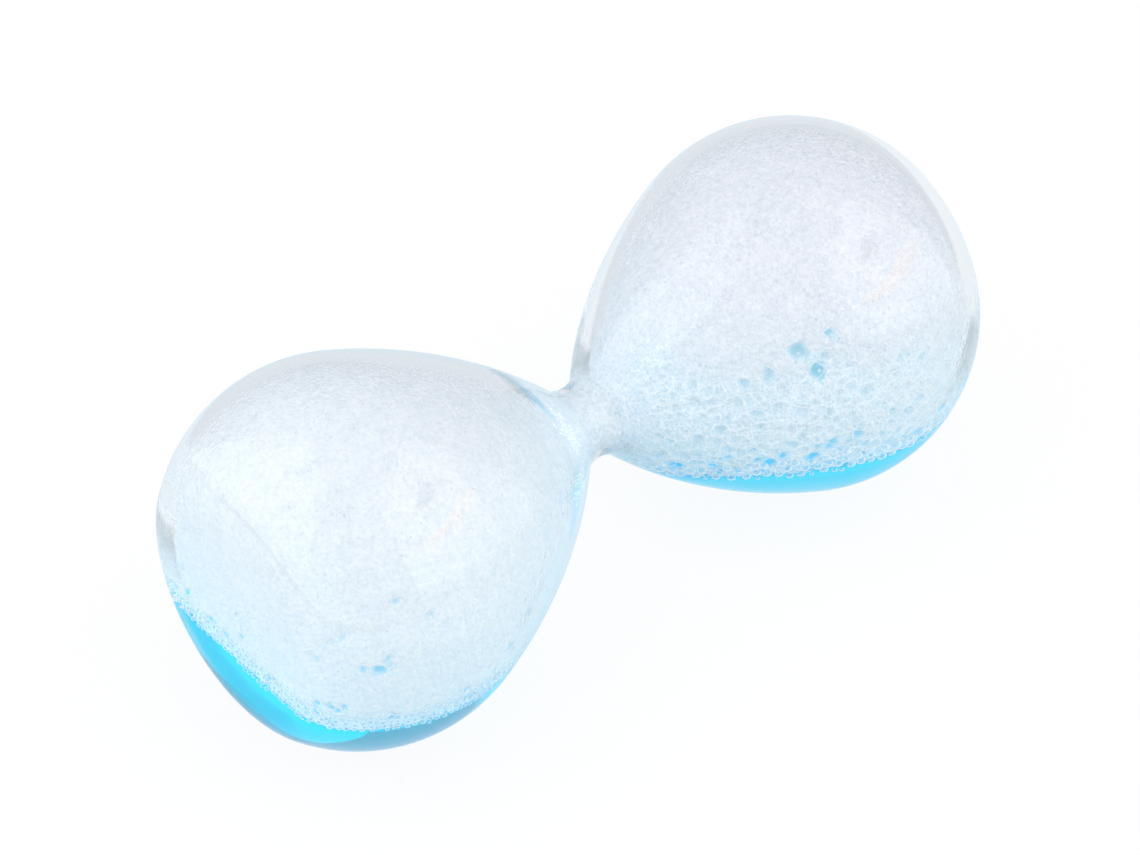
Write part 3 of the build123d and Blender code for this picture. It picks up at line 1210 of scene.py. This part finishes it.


# %% [markdown]
# ## The finish of the foam
#
# Foam is white because light scatters at every bubble wall. It takes a little blue from the liquid in its
# walls, more low down where it is wet, and greys towards the top where it has drained. Each bubble is a
# cell of a Voronoi pattern: its rim is brighter, its middle a little darker, and a few carry painted glints.
# Noise of three sizes makes it uneven, and finer noise scatters white flecks. The marks on the mesh add the
# pale blue of the coarse foam and the blue that shows in large bubbles. Beside the neck, and where that
# blue shows, the foam glows a little by itself: that is painted light.

# %% Foam
def froth(name, cells, low_colour, high_colour, low_shade, high_shade, window_colour):
    """White foam with a grain of cells, so many to the metre, paler or darker from cell to cell."""
    finish = Finish(bpy.data.materials.new(name))
    level, station, height = finish.level_place()
    drained = finish.between(height, 28 * mm, 60 * mm)
    grain = finish.noise(level, 1000.0, 3.0)
    mottle = finish.noise(level, 300.0, 3.0)
    large = finish.noise(level, 60.0, 1.0)
    cell = finish.node("ShaderNodeTexVoronoi", {"feature": "F1"}, {"Vector": level, "Scale": cells})
    rim = finish.node(
        "ShaderNodeTexVoronoi", {"feature": "DISTANCE_TO_EDGE"}, {"Vector": level, "Scale": cells}
    )
    own = finish.node("ShaderNodeSeparateColor", {}, {0: cell.other("Color")})
    tone = finish.colours(drained, low_colour, high_colour)
    shade = finish.colours(drained, low_shade, high_shade)
    dim = finish.between(grain * 0.9 + mottle * 0.7 + large * 0.4 + own * 0.3, 0.8, 1.65)
    tone = finish.colours(dim * 0.9, tone, shade)
    fleck = finish.noise(level, 900.0, 2.0, distortion=1.2)
    fleck = finish.between(fleck, 0.56, 0.68) * (0.2 + 0.3 * drained)
    tone = finish.colours(fleck, tone, paint(255, 255, 255))
    zone = finish.node("ShaderNodeAttribute", {"attribute_name": "coarse"}, {}, "Fac")
    tone = finish.colours(zone * 0.8, tone, paint(216, 238, 249))
    edge = finish.between(rim, 0.12, 0.03)
    tone = finish.colours(edge * (0.4 + 0.4 * zone), tone, paint(253, 255, 255))
    blue = finish.node("ShaderNodeAttribute", {"attribute_name": "blue"}, {}, "Fac")
    high = finish.between(height, 24 * mm, 34 * mm)
    deep = finish.colours(high, paint(74, 212, 255), window_colour)
    patchy = finish.noise(level, 500.0, 2.0)
    blue = finish.maths("MULTIPLY", blue * 1.35, finish.between(patchy, 0.15, 0.5), clamp=True)
    tone = finish.colours(blue, tone, deep)
    # Painted light: the foam beside the neck, and its blue, shine a little by themselves.
    near_neck = finish.between(finish.maths("ABSOLUTE", station), 24 * mm, 6 * mm)
    painted_glow = finish.colours(near_neck * 0.055, (0.0, 0.0, 0.0, 1.0), tone)
    painted_glow = finish.colours(blue * (0.2 - 0.14 * high), painted_glow, deep)
    # Painted glints: a few cells get a white spot, as if each caught a lamp.
    painted_glint = finish.between(own, 0.90, 0.95) * finish.between(cell, 0.50, 0.30)
    tone = finish.colours(painted_glint * 0.6, tone, paint(255, 255, 255))
    gap = finish.between(own, 0.015, 0.01) * finish.between(cell, 0.45, 0.30)
    tone = finish.colours(gap * 0.35, tone, paint(160, 190, 208))
    swell = finish.node("ShaderNodeBump", {}, {
        "Strength": 0.8, "Distance": 0.35 / cells, "Height": 1 - cell,
    })
    body = finish.node("ShaderNodeBsdfPrincipled", {}, {
        "Base Color": tone, "Roughness": 0.28, "Specular IOR Level": 0.5, "Normal": swell,
        "Emission Color": painted_glow, "Emission Strength": 1.0,
    })
    print(f"{name}: {len(finish.tree.nodes)} nodes")
    return finish.surface(body)


left_foam.data.materials.append(froth(
    "fine_foam", 1500.0,
    paint(226, 247, 255), paint(246, 249, 253), paint(202, 234, 252), paint(217, 226, 236),
    paint(150, 222, 250),
))
right_foam.data.materials.append(froth(
    "mixed_foam", 1300.0,
    paint(222, 240, 250), paint(244, 243, 248), paint(190, 220, 240), paint(213, 217, 227),
    paint(156, 212, 230),
))
raft_finish = froth(
    "wet_foam", 1200.0,
    paint(226, 248, 255), paint(236, 246, 252), paint(190, 236, 252), paint(206, 232, 246),
    paint(120, 218, 252),
)
left_raft.data.materials.append(raft_finish)
right_raft.data.materials.append(raft_finish)
neck_froth.data.materials.append(froth(
    "neck_foam_finish", 1100.0,
    paint(228, 239, 246), paint(234, 240, 245), paint(200, 219, 231), paint(212, 222, 230),
    paint(150, 214, 236),
))


# %% [markdown]
# A round bubble on the wall is clear in the middle and bright at its rim, where its film is seen edge on:
# that white rim is a painted reflection. The lines of the coarse foam are bright and wet all along, and the
# beads in the neck are points of light. Both also shine a little by themselves, as painted light.

# %% Bubbles and lines
def bubble_film():
    """A wet bubble: blue in the middle, glossy all over, and white at the rim as a painted reflection."""
    finish = Finish(bpy.data.materials.new("bubble_film"))
    level, _, height = finish.level_place()
    facing = finish.node("ShaderNodeLayerWeight", {}, {"Blend": 0.35}, "Facing")
    spread = finish.noise(level, 700.0, 1.0)
    low = finish.between(height + (spread - 0.5) * (10 * mm), 26 * mm, 21 * mm)
    middle = finish.colours(low, paint(190, 232, 250), paint(84, 206, 250))
    # Painted reflection: the rim turns white where the bubble is seen edge on.
    tone = finish.colours(finish.between(facing, 0.1, 0.28), middle, paint(253, 255, 255))
    body = finish.node("ShaderNodeBsdfPrincipled", {}, {
        "Base Color": tone, "Roughness": 0.06, "IOR": 2.0,
    })
    return finish.surface(body)


def line_finish():
    """The channels between bubbles: white, glossy, with a trace of blue, and shining a little by themselves
    as painted light.
    """
    finish = Finish(bpy.data.materials.new("foam_channels"))
    level, _, _ = finish.level_place()
    spread = finish.noise(level, 300.0, 2.0)
    tone = finish.colours(spread, paint(248, 253, 255), paint(254, 255, 255))
    # Painted light: the channels shine a little by themselves.
    body = finish.node("ShaderNodeBsdfPrincipled", {}, {
        "Base Color": tone, "Roughness": 0.2, "IOR": 1.6,
        "Emission Color": tone, "Emission Strength": 0.12,
    })
    return finish.surface(body)


def painted_glint_finish():
    """A wet bead that glints as painted light, lit a little from within."""
    finish = Finish(bpy.data.materials.new("bead_painted_glint"))
    level, _, _ = finish.level_place()
    spread = finish.noise(level, 600.0, 1.0)
    tone = finish.colours(finish.between(spread, 0.45, 0.7) * 0.6, paint(255, 253, 238), paint(226, 242, 248))
    # Painted glints: the beads shine warm white by themselves.
    body = finish.node("ShaderNodeBsdfPrincipled", {}, {
        "Base Color": tone, "Roughness": 0.1, "IOR": 1.8,
        "Emission Color": tone, "Emission Strength": 0.5,
    })
    return finish.surface(body)


# All of them are wet and let light through, so they cast no shadow on the foam behind them
edges = (left_edge, right_edge)
lines = (near_net, deep_net, left_net, left_neck_lines, right_neck_lines)
for pieces, finish in ((edges, bubble_film()), (lines, line_finish()), ((beads,), painted_glint_finish())):
    for piece in pieces:
        piece.data.materials.append(finish)
        piece.visible_shadow = False
    print(f"{finish.name}: on {len(pieces)} pieces")

# %% [markdown]
# ## What rides on what
#
# The glass pieces ride on the vessel, which rolls. All that is inside rides on the contents, which stay
# level. Each piece hides the CAD node it stands for, and the finish of the record that it matches is printed.

# %% Tie each piece to its body
for piece, node, slot in (
    (left_glass, "left_bulb", "clear_glass"),
    (right_glass, "right_bulb", "clear_glass"),
    (neck_glass, "neck_tube", "clear_glass"),
    (seal_glass, "filling_seal", "seal_glass"),
):
    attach(piece, "vessel")
    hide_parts(node)
    print(f"{piece.name}: for {node}, as {slot}")

for piece, node, slot in (
    (left_liquid, "left_liquid", "blue_liquid"),
    (right_liquid, "right_liquid", "blue_liquid"),
    (left_raft, "left_wet_foam", "wet_foam"),
    (right_raft, "right_wet_foam", "wet_foam"),
    (left_edge, "left_wet_foam", "wet_foam"),
    (right_edge, "right_wet_foam", "wet_foam"),
    (left_foam, "left_dry_foam", "dry_foam"),
    (right_foam, "right_dry_foam", "dry_foam"),
    (near_net, "right_dry_foam", "dry_foam"),
    (deep_net, "right_dry_foam", "dry_foam"),
    (left_net, "left_dry_foam", "dry_foam"),
    (beads, "left_dry_foam", "dry_foam"),
    (left_neck_lines, "left_dry_foam", "dry_foam"),
    (right_neck_lines, "right_dry_foam", "dry_foam"),
    (neck_froth, "neck_foam", "dry_foam"),
):
    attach(piece, "contents")
    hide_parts(node)
    print(f"{piece.name}: for {node}, as {slot}")

# %% [markdown]
# ## The table, the lamps and the room
#
# The timer was photographed on a white table under two large soft panels, with a thin warm lamp in one
# of them. The table is white by its own colour. Seen directly, in a mirror or through glass, part of it
# shines by itself, so it is as white as the background of the photo and still takes a faint shadow. In the
# glass's mirror it has a painted bluish shadow near the timer, and it is dark far to the left, where it
# ends: that is the thin grey line across the left bulb.


# %% Lay the table
def table_finish():
    """A white table that stays white to the eye and keeps a soft shadow."""
    finish = Finish(bpy.data.materials.new("white_table"))
    rays = finish.rays()
    seen = finish.maths("MAXIMUM", rays * 0.9, rays.other("Is Glossy Ray"))
    seen = finish.maths("MAXIMUM", seen, rays.other("Is Transmission Ray"))
    matt = finish.node("ShaderNodeBsdfDiffuse", {}, {"Color": (0.92, 0.92, 0.92, 1.0)})
    where = finish.node("ShaderNodeTexCoord", {}, {}, "Object")
    away = finish.node("ShaderNodeVectorMath", {"operation": "LENGTH"}, {0: where}, "Value")
    mirrored = finish.first_mirror(rays)
    on_left = finish.node("ShaderNodeVectorMath", {"operation": "DOT_PRODUCT"}, {
        0: where, 1: (-0.97, -0.17, 0.0),
    }, "Value")
    on_left = finish.between(on_left - away * 0.6, 0.0, 30 * mm)
    far = finish.between(away, 380 * mm, 480 * mm) * on_left * mirrored
    # Painted shadow: in the first mirror, the table near the timer shines a dimmer bluish shade.
    near = finish.between(away, 260 * mm, 120 * mm) * mirrored
    white = finish.shaders(near, finish.shining((1.0, 1.0, 1.0)), finish.shining((0.80, 0.92, 0.98)))
    white = finish.shaders(far, white, finish.shining((0.05, 0.05, 0.05)))
    return finish.surface(finish.shaders(seen, matt, white))


floor = new_piece("table", [(-4, -4, 0), (4, -4, 0), (4, 4, 0), (-4, 4, 0)], [[0, 1, 2, 3]])
floor.data.materials.append(table_finish())
print(f"{floor.name}: {len(floor.data.materials[0].node_tree.nodes)} nodes in its finish")


# %% [markdown]
# The panels are placed by the shapes that they make in the glass. A direction is an azimuth, from the
# front towards the right, and a height above the horizon, both seen from the middle of the timer.

# %% Hang the lamps
room_white = 0.95


def toward(azimuth, elevation, distance):
    """A point in a direction from the middle of the timer."""
    a, e = radians(azimuth), radians(elevation)
    way = Vector((sin(a) * cos(e), -cos(a) * cos(e), sin(e)))
    return Vector((0, 0, axis_height)) + way * distance


def lamp(name, corners, distance, radiance, mirrored, colour):
    """A lit sheet, curved about the timer, with its corners in order as azimuth and height. It may look
    dimmer in a mirror than the light that it gives, and through glass it is only as bright as the room."""
    steps = 8
    points = []
    for row in range(steps + 1):
        for column in range(steps + 1):
            across, up = column / steps, row / steps
            weights = ((1 - across) * (1 - up), across * (1 - up), across * up, (1 - across) * up)
            azimuth = sum(weight * corner[0] for weight, corner in zip(weights, corners))
            elevation = sum(weight * corner[1] for weight, corner in zip(weights, corners))
            points.append(toward(azimuth, elevation, distance))
    faces = []
    for row in range(steps):
        for column in range(steps):
            first = row * (steps + 1) + column
            faces.append([first, first + 1, first + steps + 2, first + steps + 1])
    made = new_piece(name, points, faces)
    finish = Finish(bpy.data.materials.new(name + "_light"))
    rays = finish.rays()
    light, image = finish.shining(colour, radiance), finish.shining(colour, mirrored)
    seen = finish.shaders(rays.other("Is Glossy Ray"), light, image)
    seen = finish.shaders(rays.other("Is Transmission Ray"), seen, finish.shining(colour, room_white))
    made.data.materials.append(finish.surface(seen))
    made.visible_camera = False
    print(f"{name}: gives {radiance}, shows {mirrored} in a mirror")


neutral, warm = (1.0, 1.0, 1.0), (1.0, 0.55, 0.25)
for name, corners, distance, radiance, mirrored, colour in (
    ("side_panel", ((-145, 1), (-66, 1), (-78, 68), (-152, 68)), 0.8, 1.8, 1.5, neutral),
    ("front_panel", ((-6, 13), (60, 1), (77, 66), (-14, 68)), 0.8, 1.85, 1.55, neutral),
    ("slot_in_panel", ((23, 46), (49, 47), (44, 55), (19, 50)), 0.78, 1.0, 0.3, neutral),
    ("warm_strip_right", ((27, 29), (56, 27), (56, 32), (27, 33)), 0.77, 1.7, 3.0, warm),
    ("warm_strip_left", ((4, 31), (27, 29), (27, 33), (4, 34)), 0.77, 1.7, 2.6, warm),
):
    lamp(name, corners, distance, radiance, mirrored, colour)

# %% [markdown]
# The room gives the soft light between the panels. Seen directly or through glass it is plain white, like
# the background of the photo. In the first mirror it is darker, so the panels stand out on the glass.

# %% Light the room
world = bpy.data.worlds.new("room")
bpy.context.scene.world = world
room = Finish(world)
room_rays = room.rays()
room_seen = room.maths("MAXIMUM", room_rays, room_rays.other("Is Transmission Ray"))
guided = room.maths("GREATER_THAN", room_rays.other("Ray Depth"), 1.5) * room_rays.other("Is Glossy Ray")
room_fill = 0.8 - room.first_mirror(room_rays) * 0.5 + guided * 0.03
room_level = room.maths("MAXIMUM", room_fill, room_seen)
room_tone = room.colours(guided, (1.0, 1.0, 1.0, 1.0), (0.98, 1.0, 1.03, 1.0))
room.surface(room.node("ShaderNodeBackground", {}, {"Color": room_tone, "Strength": room_level}))
print(f"room: {len(room.tree.nodes)} nodes")

# %% [markdown]
# ## The camera
#
# The camera stands where the photo's outline says: its place was found by fitting the drawn outline of
# both bulbs to the photo. It looks down at about 41 degrees from the front left.

# %% Set the camera
camera_data = bpy.data.cameras.new("camera")
camera = bpy.data.objects.new("camera", camera_data)
bpy.context.scene.collection.objects.link(camera)
camera_distance = 755.75 * mm
look_at = Vector((-2.284, 0, 35.258)) * mm
back = toward(-40.08, 41.0, 1.0) - Vector((0, 0, axis_height))
camera.location = look_at + back * camera_distance
camera.rotation_euler = back.to_track_quat("Z", "Y").to_euler()
camera_data.sensor_width = 36
camera_data.lens = 134.06
camera_data.clip_start = 0.01
bpy.context.scene.camera = camera
bpy.context.scene.view_settings.view_transform = "Standard"
print(f"camera: {camera_distance / mm:.0f} mm away, lens {camera_data.lens:.0f} mm")

# %% [markdown]
# A ray meets many walls of glass and foam here, so it may bend and turn often. Bright spots that the glass
# would focus on the foam take long to settle and don't show in the photo, so they are left out.

# %% Keep the light clean
cycles = bpy.context.scene.cycles
cycles.caustics_reflective = False
cycles.caustics_refractive = False
cycles.max_bounces = 20
cycles.glossy_bounces = 16
cycles.transmission_bounces = 16
cycles.transparent_max_bounces = 24
cycles.sample_clamp_indirect = 4.0
print("bounces at most:", cycles.max_bounces)
